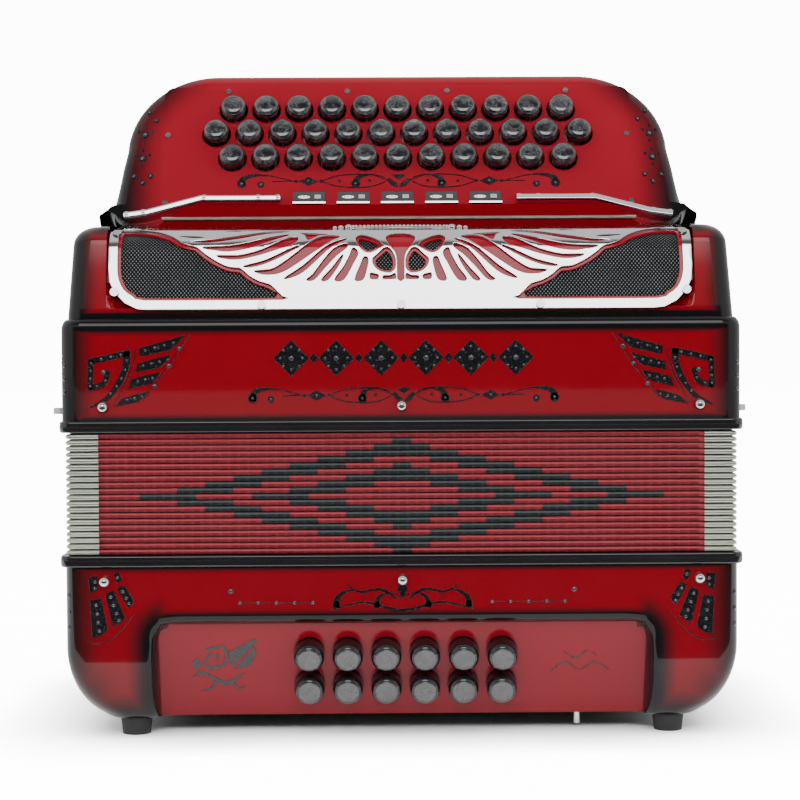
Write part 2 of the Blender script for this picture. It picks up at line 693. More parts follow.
def bellows():
    red = cloth("bellows_cloth_red", (0.080, 0.0012, 0.004, 1), (0.135, 0.003, 0.008, 1), (0.29, 0.028, 0.042, 1), 0.12)
    black = cloth("bellows_cloth_black", (0.003, 0.003, 0.004, 1), (0.008, 0.009, 0.010, 1),
                  (0.045, 0.055, 0.058, 1), 0.08)
    half = [CELL * i for i in range(1, int((BEL_X - 6) / CELL) + 1)] + [BEL_X - 3]
    xs = [-x for x in half[::-1]] + [0] + half
    ys = [-BEL_Y + 3] + [CELL * i for i in range(-20, 21)] + [BEL_Y - 3]
    fine_x, fine_y = ([p for a, b in zip(row, row[1:]) for p in (a, (a + b) / 2)] + row[-1:] for row in (xs, ys))

    def loop_points(inset, z, rib):
        """Round the stack: points on cell borders lie a little deeper, so that each cell is a rib."""
        limit_x, limit_y = BEL_X - inset, BEL_Y - inset
        dip = [0.0 if k % 2 else rib for k in range(len(fine_x))]
        pts = [(x, d - limit_y) for x, d in zip(fine_x, dip)] + [(limit_x - d, y) for y, d in zip(fine_y, dip)]
        pts += [(x, limit_y - d) for x, d in zip(fine_x, dip)][::-1]
        pts += [(d - limit_x, y) for y, d in zip(fine_y, dip)][::-1]
        return [(max(-limit_x, min(limit_x, x)), max(-limit_y, min(limit_y, y)), z) for x, y in pts]

    levels = [(d, (i + t) * PITCH, i) for i in range(FOLDS) for d, t in FOLD] + [(18.0, FOLDS * PITCH, FOLDS - 1)]
    loops = [loop_points(0.7 + d, Z_FOLDS + h, 0.28 if d < 1.2 else 0.0) for d, h, _ in levels]
    verts, faces = loft(loops, False)
    along = [0.0]
    for a, b in zip(loops[0], loops[0][1:] + loops[0][:1]):
        along.append(along[-1] + max(abs(a[0] - b[0]), abs(a[1] - b[1])))
    me = bpy.data.meshes.new("bellows_cloth")
    me.from_pydata([[c * MM for c in v] for v in verts], [], faces)
    layer = me.uv_layers.new(name="UVMap")
    for f, poly in enumerate(me.polygons):
        k, i = divmod(f, len(loops[0]))
        p, q = verts[poly.vertices[0]], verts[poly.vertices[1]]
        front_or_back = abs(p[1] - q[1]) < 1.0 and abs((p[1] + q[1]) / 2) > BEL_Y - 22
        poly.material_index = int(front_or_back and black_cell(abs(levels[k][2] - 9), (p[0] + q[0]) / 2))
        low, high = levels[k][1] * MM, levels[k + 1][1] * MM
        u0, u1 = along[i] * MM, along[i + 1] * MM
        for loop, uv in zip(poly.loop_indices, ((u0, low), (u1, low), (u1, high), (u0, high))):
            layer.data[loop].uv = uv
    return stand("bellows_cloth", me, [red, black], None, ["bellows_folds"], 60)


def bellows_caps():
    """Pressed metal caps over the corners of every fold."""
    b = Build()
    for i in range(FOLDS):
        for sx, sy in ((-1, -1), (-1, 1), (1, -1), (1, 1)):
            rows = []
            for d, t in FOLD[1:]:
                z, o = Z_FOLDS + (i + t) * PITCH, d + 0.02
                outer = [(BEL_X - CORNER, BEL_Y - o), (BEL_X - 3.2, BEL_Y - o)]
                outer += arc(BEL_X - 2.2 - o, BEL_Y - 2.2 - o, 2.2, 90, 0, 5)
                outer += [(BEL_X - o, BEL_Y - 3.2), (BEL_X - o, BEL_Y - CORNER)]
                inner = [(x - 0.6 * (x > BEL_X - 8), y - 0.6 * (y > BEL_Y - 8)) for x, y in outer]
                rows.append([(sx * x, sy * y, z) for x, y in outer + inner[::-1]])
            b.add(*loft(rows))
    return b.piece("bellows_corner_caps", [CORNER_METAL], None, "chrome", ["bellows_corners"], 50)


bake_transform(bellows())
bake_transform(bellows_caps())


# ---------------------------------------------------------------- treble casing
SHOULDER = 9.0
GRILLE_T = 1.3
GRILLE_PATH = [(-91.8, Z_STEP + 3.8), (-83.02, Z_STEP + 32.1)]
GRILLE_PATH += [(-69.5 + 14 * math.cos(math.radians(a)), Z_TOP - 15.5 + 14 * math.sin(math.radians(a)))
                for a in range(162, 97, -3)] + [(-35.0, Z_TOP + 2.2)]
PATH_S = [0.0]
for p, q in zip(GRILLE_PATH, GRILLE_PATH[1:]):
    PATH_S.append(PATH_S[-1] + math.dist(p, q))
BEND_LEVELS = PATH_S[1:-1] + [12, 24, 55, 65, 75]


def sunburst_treble(s):
    """Black at the upright corners, along the nose and foot of the band and over the shoulder, in metres."""
    x, y, z = s.split()
    ax, step = abs(x), Z_STEP * MM
    ends = s.fade(abs(y), 0.060, 0.082)
    side = s.fade(ax, 0.1405, 0.1540) * ends
    upper = s.fade(z, step - 0.001, step + 0.001) * s.fade(ax, 0.1400, 0.1500) * ends
    rim = s.fade(z, step - 0.0085, step - 0.0050) * s.fade(z, step + 0.0042, step + 0.0022)
    foot = s.fade(z, Z_BAND * MM + 0.004, Z_BAND * MM + 0.0006)
    return s.most(side, upper, rim, foot, s.fade(z, 0.2335, 0.2405))


def treble_outline(z):
    """Half width, front y, back y and corner radius of the treble casing at a height."""
    if z <= Z_STEP:
        k = max(0.0, (z - (Z_STEP - 5)) / 5)
        pull = 3.0 * (1 - math.sqrt(max(0.0, 1 - k * k)))
        return UPPER_HALF - pull, -CASE_Y + pull, CASE_Y - pull, 9.0
    rise = z - Z_STEP
    hx = UPPER_HALF - 2.8 - 0.055 * rise
    y0 = -CASE_Y + 3.4 + 0.20 * max(0.0, rise - 2)
    y1 = CASE_Y - 2 - 0.16 * max(0.0, rise - 4)
    k = (z - (Z_TOP - SHOULDER)) / SHOULDER
    if k > 0:
        pull = SHOULDER * (1 - math.sqrt(1 - min(k, 1.0) ** 2))
        hx -= pull
        y0 += pull * 1.1
    k = (z - (Z_TOP - 34)) / 34
    if k > 0:
        y1 -= 52 * (1 - math.sqrt(1 - min(k, 1.0) ** 2))
    return hx, y0, y1, 9.0


def behind_grille(x, z, y0):
    """The casing's front steps back behind the grille and leaves room under its rolled top."""
    corner = 137.7 if z > Z_STEP + 18 else 126 + 11.7 * math.sqrt(max(0.0, 1 - ((Z_STEP + 18 - z) / 15) ** 2))
    if abs(x) > corner or z < Z_STEP + 5:
        return y0
    if z > Z_TOP - 7:
        return -33.0
    k = 0
    while k < len(GRILLE_PATH) - 2 and z > GRILLE_PATH[k + 1][1]:
        k += 1
    (ya, za), (yb, zb) = GRILLE_PATH[k], GRILLE_PATH[k + 1]
    return ya + (yb - ya) * (z - za) / (zb - za) + 5.0


def treble_casing():
    """The treble casing: band, nose, the step behind the grille, and the rounded shoulder."""
    half = [6 * i for i in range(1, 21)] + [123, 126, 128.5, 131, 133, 135, 136.5, 137.6, 137.8, 138.4, 144, 150]
    xs = [-x for x in half[::-1]] + [0] + half
    band = [Z_BAND + d for d in (0, 1, 4, 12, 22, 32, 40)]
    nose = [Z_STEP - 5 + 5 * math.sin(math.radians(a)) for a in (0, 15, 30, 45, 60, 75, 90)]
    step = [Z_STEP + d for d in (0.01, 1.5, 4.9, 5.1, 8, 11, 14, 17, 18.1, 24)]
    top = [Z_TOP - SHOULDER + SHOULDER * math.sin(math.radians(a)) for a in (0, 12, 13, 14, 24, 36, 48, 60, 70, 80, 90)]
    loops = []
    for z in band + nose + step + top:
        hx, y0, y1, r = treble_outline(z)
        across = [math.copysign(min(abs(x), hx - 9.2 - 0.01 * (150 - abs(x))), x) for x in xs]
        loops.append(rounded_loop(hx, y0, y1, r, z, across, front_y=lambda x, z: behind_grille(x, z, y0)))
    piece("treble_casing_shell", *loft(loops), [lacquer("lacquer_treble", sunburst_treble)], "treble_section",
          "red_lacquer", ["treble_casing"], 50)


treble_casing()


# ---------------------------------------------------------------- fingerboard
BOARD_T = 26.0
BOARD_TOP = 94.5
HALF_W = 139.5
HEAD_R = 46.0


def board_outline():
    horn = [(140, -10), (140, -2), (140.7, 2.8), (142, 5.2), (143.5, 6.9), (145, 8.0), (146.6, 8.5), (148.4, 8.2),
            (150, 7.3), (151.8, 6.3), (151.6, 7.3), (149.8, 8.8), (147.7, 10.6), (146, 12.6), (144.5, 15.6),
            (143.3, 22), (142.5, 28), (141.4, 37)]
    right = horn + arc(HALF_W - HEAD_R, BOARD_TOP - HEAD_R, HEAD_R, 0, 90, 24)
    right += [(x, BOARD_TOP) for x in (88, 60, 30, 0)]
    return right + mirrored(right[:-1])


def sunburst_board(s):
    """Black towards the rim of the board, following the rounded upper corners."""
    x, y, z = s.split()
    ax = abs(x)
    up = (y - BOARD_Y * MM) * math.sin(LEAN) + (z - BOARD_Z * MM) * math.cos(LEAN)
    px = s.most(ax - (HALF_W - HEAD_R) * MM, 0.0)
    pz = s.most(up - (BOARD_TOP - HEAD_R) * MM, 0.0)
    radial = s.math("SQRT", px * px + pz * pz)
    rim = s.fade(radial, (HEAD_R - 22) * MM, (HEAD_R + 1.0) * MM) * s.fade(ax, 0.092, 0.122)
    return s.most(rim, s.fade(ax, 0.1190, 0.1420) * s.fade(up, 0.062, 0.045))


def inset_board(outline, d):
    """Draws the outline in, but leaves the fine horns almost as they are."""
    moved_in = offset(outline, d)
    return [(x0 + (x1 - x0) * 0.08, v0 + (v1 - v0) * 0.08) if abs(x0) > 141.5 and v0 < 14 else (x1, v1)
            for (x0, v0), (x1, v1) in zip(outline, moved_in)]


def sink(b, ring, first, opening, face, floor):
    """Fills between a ring of the build's points and an opening in it, adds its walls, and returns its floor."""
    start, m = len(b.verts), len(opening)
    b.verts += [on_board(x, v, h) for h in (face, floor) for x, v in opening]
    index = [*range(first, first + len(ring)), *range(start, start + m)]
    faces = [tuple(index[i] for i in tri) for tri in fill((ring, opening))]
    faces += [(start + i, start + (i + 1) % m, start + m + (i + 1) % m, start + m + i) for i in range(m)]
    b.faces += faces
    b.mats += [0] * len(faces)
    return tuple(range(start + m, start + 2 * m))


def fingerboard():
    """The red board, open in front for the button plate and with a pocket in its back for the cover."""
    outline = ccw(board_outline())
    front_r, back_r = 7.0, 5.0
    loops = []
    for t in map(math.radians, (90, 70, 50, 30, 15, 0)):
        loops.append([(x, v, back_r * (1 - math.sin(t)) - BOARD_T)
                      for x, v in inset_board(outline, back_r * (1 - math.cos(t)))])
    for t in map(math.radians, (0, 12, 24, 36, 48, 60, 72, 82, 90)):
        loops.append([(x, v, front_r * (math.sin(t) - 1))
                      for x, v in inset_board(outline, front_r * (1 - math.cos(t)))])
    b = Build()
    b.add(*loft(loops, False), place=on_board)
    sink(b, loops[-1], (len(loops) - 1) * len(outline), round_box(-120.5, 2.5, 120.5, 84.5, 5, 4), 0.0, -4.0)
    pocket = round_box(-116.2, 3.8, 116.2, 82.2, 1.5, 3)
    b.faces.append(sink(b, loops[0], 0, pocket, -BOARD_T, 2.6 - BOARD_T))
    b.mats.append(0)
    b.piece("fingerboard_body", [lacquer("lacquer_board", sunburst_board, RED_PLATE, RED_PLATE_2)], "treble_section",
            "red_lacquer", ["fingerboard"], 50)


fingerboard()

ROW_V = [70.1, 55.2, 40.3]
ROW_N = [11, 12, 11]
KEY_PITCH = 17.0


def row_x(r):
    return [(i - (ROW_N[r] - 1) / 2) * KEY_PITCH for i in range(ROW_N[r])]


def button_plate():
    b = Build()
    holes = [circle(x, ROW_V[r], 7.45, 28) for r in range(3) for x in row_x(r)]
    b.add(*plate(round_box(-121.3, 2.2, 121.3, 84.8, 6), holes, -2.5, 0.12, 0.1), place=on_board)
    b.piece("keyboard_plate", [lacquer("lacquer_plate", sunburst_board, RED_PLATE, RED_PLATE_2)], "treble_section",
            "red_panel", ["button_plate"], 40)


button_plate()

KEY_PROFILE = [(0, -3.0), (5.9, -3.0), (6.1, -1.0), (6.3, 1.2), (6.42, 2.8), (6.38, 4.0), (6.1, 4.9), (5.5, 5.6),
               (4.4, 6.05), (2.6, 6.25), (0, 6.3)]
for r in range(3):
    keys = Build()
    for x in row_x(r):
        keys.add(*lathe(KEY_PROFILE, 36), place=lambda u, v, h: on_board(u + x, v + ROW_V[r], h))
    keys.piece(f"pearl_buttons_row_{r + 1}", [PEARL], f"treble_row_{r + 1}", "black_pearl",
               [f"treble_buttons_row_{r + 1}"], 60)

# ---------------------------------------------------------------- bass panel and buttons
BASS_V = [33.7, 16.7]
BASS_PITCH = 18.2
BASS_X0 = 1.4
BASS_PROFILE = [(0, -5.2), (6.9, -5.2), (7.0, 0.0), (7.15, 4.2), (7.2, 6.6), (7.0, 7.8), (6.4, 8.9), (5.6, 9.5),
                (5.2, 9.65), (0, 9.6)]
BASS_CAP = [(0, 9.4), (5.3, 9.4), (5.2, 9.7), (4.8, 9.9), (3.4, 10.0), (0, 10.0)]

for i in range(12):
    x, v = BASS_X0 + (i % 6 - 2.5) * BASS_PITCH, BASS_V[i // 6]
    button = Build()
    for k, profile in enumerate((BASS_PROFILE, BASS_CAP)):
        button.add(*lathe(profile, 40), k, lambda u, w, h: on_panel(u + x, w + v, h))
    name = f"bass_button_{i + 1:02d}"
    button.piece(f"pearl_{name}", [SWITCH, PEARL_GREY], name, "black_pearl", [name], 60)


# ---------------------------------------------------------------- grille
def on_grille(x, s, h=0.0):
    """A point of the grille: across, up along its curved face, out of it."""
    k = 0
    while k < len(PATH_S) - 2 and s > PATH_S[k + 1]:
        k += 1
    (y0, z0), (y1, z1) = GRILLE_PATH[k], GRILLE_PATH[k + 1]
    length = PATH_S[k + 1] - PATH_S[k]
    t = (s - PATH_S[k]) / length
    ny, nz = -(z1 - z0) / length, (y1 - y0) / length
    return (x, y0 + (y1 - y0) * t + ny * h, z0 + (z1 - z0) * t + nz * h)


def bent(name, outer, holes, low, high, bevel, material, replaces=()):
    """A plate cut level by level and bent to the grille's curve, with its flat layout as UV."""
    verts, faces = plate(outer, holes, low, high, bevel)
    bm = bmesh.new()
    made = [bm.verts.new(v) for v in verts]
    for f in faces:
        bm.faces.new([made[i] for i in f])
    for s in BEND_LEVELS:
        bmesh.ops.bisect_plane(bm, geom=bm.verts[:] + bm.edges[:] + bm.faces[:], plane_co=(0, s, 0),
                               plane_no=(0, 1, 0), dist=0.001)
    layer = bm.loops.layers.uv.new("UVMap")
    for f in bm.faces:
        for loop in f.loops:
            loop[layer].uv = loop.vert.co.xy * MM
    for v in bm.verts:
        v.co = Vector(on_grille(*v.co)) * MM
    bmesh.ops.recalc_face_normals(bm, faces=bm.faces)
    me = bpy.data.meshes.new(name)
    bm.to_mesh(me)
    bm.free()
    stand(name, me, [material], "treble_section", replaces, 35)


def both(shapes):
    """The shapes and their mirror images."""
    return shapes + [mirrored(s) for s in shapes]


FRAME_EDGE = [(-135.4, 82.5), (-136.9, 40), (-136.9, 21.5), (-136.1, 14.1), (-133.7, 8.9), (-128.8, 3.7), (-123, 0.7),
              (-117.3, 0)]
WING_EDGE = [(-55.4, 6.7), (-57.6, 8.9), (-61, 12.4), (-66.3, 14.1), (-71.1, 17), (-74.9, 20.4), (-78.7, 20.8),
             (-82.6, 22), (-88.3, 25.2), (-93.2, 28.9), (-95.9, 31.2), (-99, 32.1), (-103.4, 34), (-107.1, 37.4),
             (-110.9, 39.7), (-117.1, 43.2), (-123, 45.6)]
WINDOW = [(-131.7, 45.5), (-132.5, 32), (-132.5, 21.5), (-131.8, 15.6), (-129.2, 10.4), (-125.1, 7.2), (-119.8, 5.2),
          (-92.8, 5.2), (-55.2, 5.2)] + WING_EDGE
LINER = [(-130.2, 44.3), (-131, 32), (-131, 21.5), (-130.3, 16.3), (-128.1, 11.6), (-124.3, 8.5), (-119.5, 6.6),
         (-92.8, 6.6), (-58.5, 6.6), (-62, 11), (-66.6, 12.7), (-71.8, 15.6), (-75.4, 18.9), (-79.2, 19.3),
         (-83.3, 20.6), (-89.2, 23.9), (-94, 27.5), (-96.5, 29.8), (-99.6, 30.7), (-104.1, 32.6), (-107.9, 36),
         (-111.7, 38.3), (-117.6, 41.8), (-123.6, 44.2)]
FEATHERS = [
    [(-98.3, 34.3), (-87.1, 35.7), (-74.9, 38.2), (-64.3, 41.2), (-57, 42.4), (-52.5, 42), (-53.4, 40.9),
     (-64.2, 38.9), (-75.6, 35.9), (-87.3, 33.9), (-93, 33.6)],
    [(-92.7, 31.1), (-80.1, 31.9), (-69.4, 34.3), (-59.5, 37.3), (-53.3, 38.8), (-52.8, 37.9), (-57.6, 35.8),
     (-69.3, 31.2), (-80.1, 29.1), (-87.5, 29.8)],
    [(-86.1, 26.9), (-76.4, 26.9), (-65.7, 29.6), (-58.5, 33.4), (-53.5, 36.1), (-49.2, 36.8), (-48, 35.6),
     (-50.4, 32.6), (-56.8, 30.4), (-65.7, 27.4), (-75.4, 25.2), (-82, 25.4)],
    [(-73.5, 21.7), (-63.9, 24.4), (-56.5, 27.9), (-48.6, 31.7), (-48.3, 30.9), (-53, 28.1), (-58.7, 25),
     (-65.5, 22.2), (-71, 21.2)],
    [(-68.5, 19.3), (-61, 20), (-55.1, 23.4), (-48.1, 28.9), (-43.5, 32.9), (-38.8, 36.4), (-34.2, 37.9),
     (-30.3, 37.8), (-28.5, 36.7), (-31.8, 35), (-39.5, 29.6), (-48.1, 23.3), (-55, 18.9), (-61, 17.5),
     (-65.5, 17.9)],
    [(-54.6, 15.6), (-46.1, 21.5), (-38, 28.9), (-32, 33.4), (-26.1, 35.7), (-26, 34.7), (-32.5, 31.2),
     (-39.5, 24.5), (-45.3, 19), (-50.5, 16.2)],
    [(-44.2, 14.8), (-41.1, 17.6), (-35.7, 25.2), (-30.8, 30.6), (-25.5, 32.9), (-25.4, 30.6), (-30, 26.8),
     (-35.6, 20.6), (-40.6, 14.8)],
    [(-47.1, 40.3), (-34.2, 38.9), (-38.5, 37.8), (-43.4, 34.8), (-45, 38.2)],
    [(-37.2, 14.8), (-32.4, 20.4), (-28.1, 26.2), (-27, 26.6), (-29.2, 21.6), (-34, 14.8)],
    [(-31, 14.8), (-27, 20.8), (-24, 26.7), (-22.4, 30.5), (-19.9, 28), (-22.1, 23), (-26.7, 14.8)],
    [(-21.5, 14.8), (-18.9, 22), (-17.2, 26), (-15.2, 25), (-15.9, 20), (-17.7, 14.8)],
    [(-14.3, 17.8), (-12.5, 17.7), (-10.4, 16.9), (-10.9, 15.2), (-14.1, 15.2)],
    [(-8.1, 16.4), (-5, 16.7), (-2.7, 17.8), (-2.8, 15.2), (-8, 15.2)],
    [(-104.5, 37.7), (-97, 37.6), (-92.2, 36.9), (-97.3, 36.5)],
    [(-83.8, 41.7), (-75, 43.6), (-66.2, 43.7), (-75, 42)],
]
LENS = [(-21.1, 35.9), (-19.7, 37.6), (-17.4, 38), (-12.3, 35.7), (-8.5, 32.3), (-10.4, 30.2), (-14.3, 28.2),
        (-17.6, 29.2), (-20.2, 32.6)]
EYE = [(-13.2, 24.9), (-10.8, 27.4), (-7.2, 30.6), (-4.9, 29.7), (-3, 26.7), (-2.4, 23.7), (-2.8, 20.2),
       (-4.6, 18.6), (-6.9, 18.4), (-10, 19.3), (-12.4, 21.6)]


def grille():
    """The chrome wings, their red lining and the black screen behind them."""
    keyhole = [(-1.5, 15), (-1.5, 24), (-2.6, 28.6), (-5.6, 32.6), (-7, 36.4), (-4.6, 38.6), (0, 38.9)]
    keyhole += mirrored(keyhole[:-1])
    outline = FRAME_EDGE + mirrored(FRAME_EDGE)
    holes = [spline(w, 2, True) for w in both([WINDOW])]
    holes += [spline(f, 3, True) for f in both(FEATHERS + [LENS, EYE])] + [spline(keyhole, 2, True)]
    bent("grille_chrome", outline, holes, -GRILLE_T, 0.0, 0.3, CHROME, ["grille"])
    cuts = [LINER, offset(ccw(LENS), 1.3), offset(ccw(EYE), 1.4)]
    inner = [(x * 0.992, min(max(v, 0.8), 47.8)) for x, v in outline]
    bent("grille_liner", inner, [spline(w, 2, True) for w in both(cuts)], -GRILLE_T - 1.3, -GRILLE_T - 0.1, 0.3,
         LINER_RED)
    sheet = [(-120, 4.5), (120, 4.5), (128, 9), (131.4, 16), (131.4, 47.6)]
    sheet += mirrored(sheet[1:])
    bent("grille_screen", sheet, [], -GRILLE_T - 2.4, -GRILLE_T - 1.5, 0.0, SCREEN, ["grille_mesh"])


grille()


# ---------------------------------------------------------------- ornaments
GEM = [(1.0, -0.2), (1.0, 0.12), (0.72, 0.5), (0.4, 0.66), (0, 0.7)]


def on_band(x, z, h):
    """A point of either casing's flat front, out of its face by h."""
    return (x, -CASE_Y - h, z)


def decals(name, shapes, place, body, gems=(), proud=0.3, bevel=0.1):
    """Raised black shapes on a face, and a second piece with their crystals."""
    b = Build()
    for shape in shapes:
        b.add(*plate(shape, (), -0.25, proud, bevel, 1), place=place)
    b.piece(name, [ORNAMENT], body, "ornament_black")
    if gems:
        g = Build()
        for x, v, r in gems:
            stud = lathe([(p * r, proud * 0.9 + h * r) for p, h in GEM], 10)
            g.add(*stud, place=lambda a, c, h: place(a + x, c + v, h))
        g.piece(name + "_crystals", [CRYSTAL], body, "crystal", angle=25)


def moved(shape, dx, dy, k=1.0, flip=1):
    return [(dx + x * k * flip, dy + y * k) for x, y in shape]


def comma(x, y, r, tail):
    """A comma: a round head with a sweeping tail."""
    pts = [(x, y - r * 0.6)] + [(x + a, y + b) for a, b in tail]
    return [circle(x, y, r, 16), stroke(pts, [r * 1.7, r * 1.25, r * 0.7, 0.5, 0.35])]


def scroll(dx, dy, k):
    """A long symmetrical scroll of commas, diamonds and fine lines."""
    shapes, gems = [], []
    for m in (-1, 1):
        part = comma(-70.3, -1.2, 2.2, [(0.8, 2.6), (5, 4.3), (12, 4.2), (22, 1.7)])
        part += comma(-19.3, -1.4, 2.1, [(0.6, 2.4), (3, 4.2), (8, 4.8), (13, 3.4)])
        part += [[(-44.8, 0), (-40.5, 2.3), (-36.2, 0), (-40.5, -2.3)]]
        part += [circle(-46, 0, 0.8, 10), circle(-34.8, 0, 0.8, 10), circle(-61.7, -1.7, 1.6, 16),
                 circle(-26.5, 0, 0.7, 10), circle(-13, 0.3, 0.7, 10)]
        part += [stroke([(-56.5, -0.1), (-51, 0.1), (-46, 0)], [0.5, 0.5]),
                 stroke([(-34.8, 0), (-28, 2.7), (-20, 3.6), (-12, 3.3), (-5, 0.4)], [0.4, 0.6, 0.4]),
                 stroke([(-34.8, 0), (-28, -2.5), (-20, -3.3), (-12, -2.8), (-6, -0.2)], [0.4, 0.6, 0.4])]
        part += [[(-5.6, 0.6), (-4.2, 1.7), (-0.8, -1.4), (-0.2, -3.4), (-3.2, -2.4)]]
        shapes += [moved(p, dx, dy, k, -m) for p in part]
        gems += [(dx - m * x * k, dy + y * k, 0.75 * k)
                 for x, y in ((-70.3, -1.2), (-61.7, -1.7), (-40.5, 0), (-19.3, -1.4))]
    shapes.append(moved([(-3, 3.2), (0, 3.8), (3, 3.2), (0, 0.6)], dx, dy, k))
    return shapes, gems


def band_ornaments():
    """Frets and blades at the ends of the treble band, with a row of lozenges and a scroll between them."""
    fret = [stroke([(-136.4, 173.4), (-137.4, 168.8), (-139.5, 166.6), (-145.4, 165)], [2.6, 2.7]),
            stroke([(-144.9, 164.4), (-144.3, 178.4)], [2.6, 2.7]),
            stroke([(-145.2, 177.4), (-126.2, 181.6)], [2.8, 2.9]),
            stroke([(-127.4, 182.4), (-128.2, 174.7), (-131.3, 167.6), (-137, 160.4), (-145.4, 156.2)],
                   [3.2, 3.3, 3.1, 2.2, 0.5])]
    blades = [[(-121.9, 183.7), (-111, 186.6), (-100.4, 189.8), (-103.6, 186), (-107.3, 182.7), (-121.5, 179.7)],
              [(-122.7, 176.5), (-114.9, 178.6), (-106.8, 180.7), (-109.2, 177.4), (-112.1, 174.7), (-123.5, 172.4)],
              [(-125.4, 169.4), (-118.7, 171.1), (-111.9, 172.5), (-113.8, 169.4), (-116.4, 167.1), (-127.1, 164.7)],
              [(-129.7, 160.4), (-123.5, 162.2), (-117.9, 163.5), (-119.9, 160.6), (-122.6, 158.6), (-133.5, 156.5)]]
    lines = [stroke([(-98.2, 189.8), (-102.5, 183.6), (-108.3, 174.7), (-115, 166.1), (-120.3, 159)], [0.35, 0.5, 0.3]),
             stroke([(-123.8, 183.3), (-124.9, 174.7), (-129.2, 165.3), (-134.5, 156.7)], [0.3, 0.45, 0.3])]
    dots = [(-103.2, 183.5), (-108.1, 175.4), (-114.8, 166.1), (-138.5, 172.6)]
    along = [(-144.7, 166), (-144.6, 169.6), (-144.4, 173.2), (-144.2, 176.8), (-139.5, 178.7), (-135, 179.7),
             (-130.4, 180.7), (-127.6, 178), (-128.4, 173.6), (-130, 169.6), (-132.4, 166), (-135.2, 162.7),
             (-137.6, 168.6), (-141.6, 166)]
    for x, z, dx, dz, count in ((-119, 182.6, 4.4, 1.15, 4), (-120, 175.5, 3.8, 0.9, 4), (-122.5, 168.3, 3.4, 0.75, 3),
                                (-127.5, 159.6, 3.4, 0.7, 3)):
        along += [(x + dx * i, z + dz * i) for i in range(count)]
    shapes, gems = both(fret + blades + lines), []
    for m in (-1, 1):
        gems += [(-m * x, z, 1.15) for x, z in dots] + [(-m * x, z, 0.7) for x, z in along]
    mid = 178.6
    for i in range(6):
        x = -51.2 + 20.9 * i
        shapes.append([(x - 8.4, mid), (x, mid + 8.4), (x + 8.4, mid), (x, mid - 8.4)])
        gems += [(cx, cz, 0.7) for cx, cz in circle(x, mid, 5.2, 8)] + [(x, mid, 1.3)]
        if i < 5:
            shapes.append([(x + 10.45, mid + 2.6), (x + 12.3, mid), (x + 10.45, mid - 2.6), (x + 8.6, mid)])
    more, more_gems = scroll(1.0, 161.2, 1.0)
    decals("band_ornaments", shapes + more, on_band, "treble_section", gems + more_gems)


band_ornaments()


def bass_ornaments():
    """Fans at the upper corners of the bass casing, chains of dots and a scroll between them."""
    blades = [[(-145.8, 66.3), (-140.6, 67.2), (-137.5, 52.2), (-141, 49.6), (-145, 48.7)],
              [(-138.8, 69.1), (-134.6, 70.9), (-129.5, 57.8), (-132, 55.2), (-135.2, 54.1)],
              [(-133.1, 71.9), (-129.9, 73.3), (-125.3, 66.2), (-126.4, 63.6), (-128.1, 62.5)],
              [(-146.6, 77.1), (-142.4, 77.5), (-142, 71), (-145.7, 69.6)],
              [(-135, 78.6), (-132.2, 79.2), (-130.8, 75.6), (-133.1, 73.9)],
              stroke([(-147, 46.5), (-139, 46.2), (-132, 51.5), (-125, 60)], [0.3, 0.4, 0.3])]
    gems = [(-143.3, 74.9, 0.9), (-143.4, 71.9, 0.8), (-132.9, 76.8, 0.9), (-142.9, 64, 0.9), (-142.4, 59.9, 0.9),
            (-142, 55.8, 0.9), (-141.5, 51.9, 0.9), (-136.1, 67.7, 0.9), (-134.8, 63.8, 0.9), (-133.4, 60, 0.9),
            (-132.4, 56.8, 0.9), (-130.5, 70.2, 0.9), (-128.9, 67.2, 0.9), (-127.6, 64.6, 0.8)]
    gems += [(-x, z, r) for x, z, r in gems]
    shapes = both(blades)
    for m in (-1, 1):
        shapes.append(stroke([(m * 75.9, 64.5), (m * 58, 64.5), (m * 41.9, 64.5)], [0.25, 0.25]))
        gems += [(m * (75.9 - 8.5 * i), 64.5, 0.9) for i in range(5)] + [(m * 80.2, 70, 1.3)]
    shapes += both(comma(-31, 63.4, 1.9, [(0.6, 3), (4, 6), (9, 6.6), (14, 4)])
                   + comma(-12, 63.2, 1.7, [(0.5, 2.6), (3, 5), (7, 5.6), (11, 3.6)]))
    shapes += [stroke([(-33, 61), (-18, 64.4), (0, 60.6), (18, 64.4), (33, 61)], [0.4, 1.0, 1.5, 1.0, 0.4]),
               stroke([(-26, 73), (-20, 69.5), (-10, 70.5), (-3, 66)], [0.4, 0.9, 1.3, 0.6]),
               stroke([(26, 73), (20, 69.5), (10, 70.5), (3, 66)], [0.4, 0.9, 1.3, 0.6]),
               [(0, 75.4), (2.6, 70.6), (0, 65.8), (-2.6, 70.6)]]
    decals("bass_ornaments", shapes, on_band, "bass_section", gems)


bass_ornaments()


